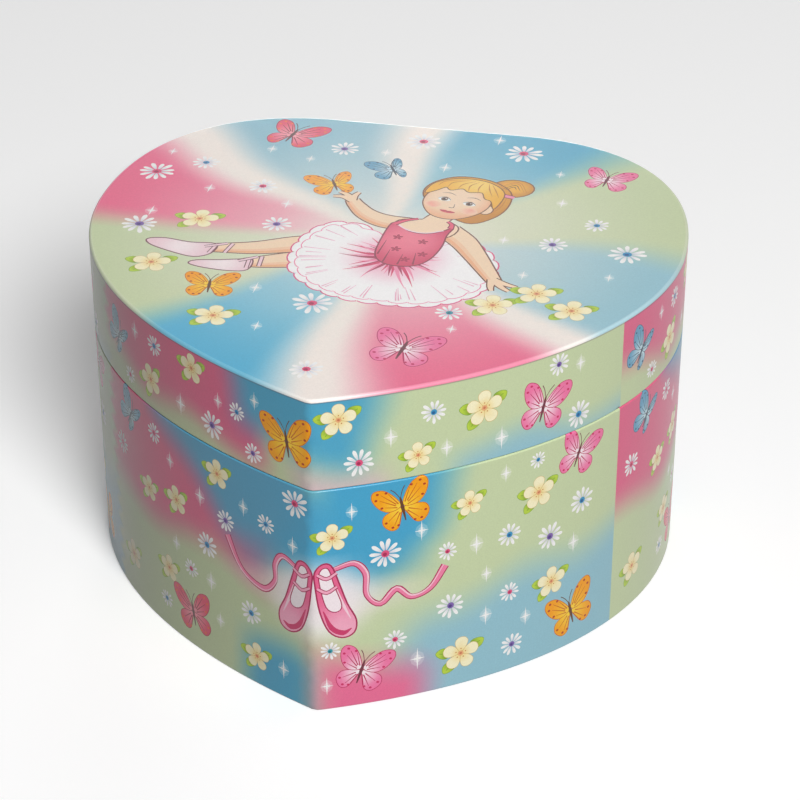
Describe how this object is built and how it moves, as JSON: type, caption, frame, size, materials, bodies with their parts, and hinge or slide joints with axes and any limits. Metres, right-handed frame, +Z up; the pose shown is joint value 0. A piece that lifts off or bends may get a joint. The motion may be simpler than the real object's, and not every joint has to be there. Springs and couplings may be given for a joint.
{
  "type": "wind up music box",
  "caption": "Heart-shaped musical jewellery box with a hinged lid, lined compartments, a wind-up pinned-drum movement and a turning dancer on a spring.",
  "frame": {"origin": "centre of the box's rectangle in plan, on the surface that it stands on", "axes": "+Z up, -Y towards the heart's tip at the front, +Y towards the hinged back, +X to the right seen from the front"},
  "size_m": [0.16, 0.1562, 0.0933],
  "materials": {
    "printed_paper": "satin",
    "greyboard": "matte",
    "velvet": "flocked",
    "satin_trim": "satin",
    "mirror": "polished",
    "brass": "lacquered",
    "steel": "brushed",
    "zinc": "as cast",
    "nylon": "moulded",
    "figure_plastic": "painted",
    "tulle": "sheer"
  },
  "bodies": {
    "base": {"base_wrap": "printed_paper", "base_wall": "greyboard", "base_floor": "greyboard", "base_lining": "velvet", "partition_cross": "velvet", "partition_left": "velvet", "partition_right": "velvet", "floor_pad_front": "velvet", "floor_pad_left": "velvet", "floor_pad_right": "velvet", "deck": "velvet", "deck_cleat_left": "greyboard", "deck_cleat_right": "greyboard", "ring_roll_1": "velvet", "ring_roll_2": "velvet", "ring_roll_3": "velvet", "movement_bed": "zinc", "movement_screw_1": "steel", "movement_screw_2": "steel", "comb": "steel", "comb_screw_1": "steel", "comb_screw_2": "steel", "governor_bracket": "zinc", "hinge_leaf_base_left": "brass", "hinge_leaf_base_right": "brass", "hinge_pin_left": "steel", "hinge_pin_right": "steel", "hinge_nail_base_1": "brass", "hinge_nail_base_2": "brass", "hinge_nail_base_3": "brass", "hinge_nail_base_4": "brass"},
    "lid": {"lid_wrap": "printed_paper", "lid_wall": "greyboard", "lid_panel": "greyboard", "lid_lining": "velvet", "lid_pad": "velvet", "mirror": "mirror", "mirror_trim": "satin_trim", "lid_rail": "velvet", "hinge_leaf_lid_left": "brass", "hinge_leaf_lid_right": "brass", "hinge_nail_lid_1": "brass", "hinge_nail_lid_2": "brass", "hinge_nail_lid_3": "brass", "hinge_nail_lid_4": "brass"},
    "key": {"winding_arbor": "steel", "winding_key": "brass"},
    "barrel": {"spring_barrel": "brass", "mainspring": "steel", "turning_stand": "nylon", "coil_spring": "steel"},
    "drum": {"drum_arbor": "steel", "pin_drum": "brass", "drum_gear": "nylon"},
    "governor": {"governor_wheel": "nylon"},
    "fan": {"worm_shaft": "steel", "governor_fan": "nylon"},
    "dancer": {"dancer": "figure_plastic", "tutu": "tulle"},
    "stop": {"stop_wire": "steel"}
  },
  "joints": [
    {"name": "lid_hinge", "type": "hinge", "parent": "base", "child": "lid", "pos_m": [0, 0.07652, 0.06725], "axis": [-1, 0, 0], "range_deg": [0, 95]},
    {"name": "key_wind", "type": "hinge", "parent": "base", "child": "key", "pos_m": [0, 0.043, 0.006], "axis": [0, 0, 1], "range_deg": [0, 1890]},
    {"name": "barrel_spin", "type": "hinge", "parent": "base", "child": "barrel", "pos_m": [0, 0.043, 0.021], "axis": [0, 0, 1], "continuous": true},
    {"name": "drum_spin", "type": "hinge", "parent": "base", "child": "drum", "pos_m": [0.021, 0.043, 0.02941], "axis": [1, 0, 0], "continuous": true},
    {"name": "governor_spin", "type": "hinge", "parent": "base", "child": "governor", "pos_m": [0.031, 0.052, 0.02941], "axis": [1, 0, 0], "continuous": true},
    {"name": "fan_spin", "type": "hinge", "parent": "base", "child": "fan", "pos_m": [0.03271, 0.0571, 0.025], "axis": [0, 0, 1], "continuous": true},
    {"name": "dancer_rise", "type": "slide", "parent": "barrel", "child": "dancer", "axis": [0, 0, 1], "range_m": [0, 0.012], "deforming": ["coil_spring"]},
    {"name": "stop_rise", "type": "slide", "parent": "base", "child": "stop", "axis": [0, 0, 1], "range_m": [0, 0.003]}
  ],
  "couplings": [
    {"joint": "drum_spin", "follows": "barrel_spin", "ratio": 2.5},
    {"joint": "governor_spin", "follows": "barrel_spin", "ratio": -7.5},
    {"joint": "fan_spin", "follows": "barrel_spin", "ratio": 60},
    {"joint": "dancer_rise", "follows": "lid_hinge", "m_per_rad": 0.007237},
    {"joint": "stop_rise", "follows": "lid_hinge", "m_per_rad": 0.0018}
  ]
}
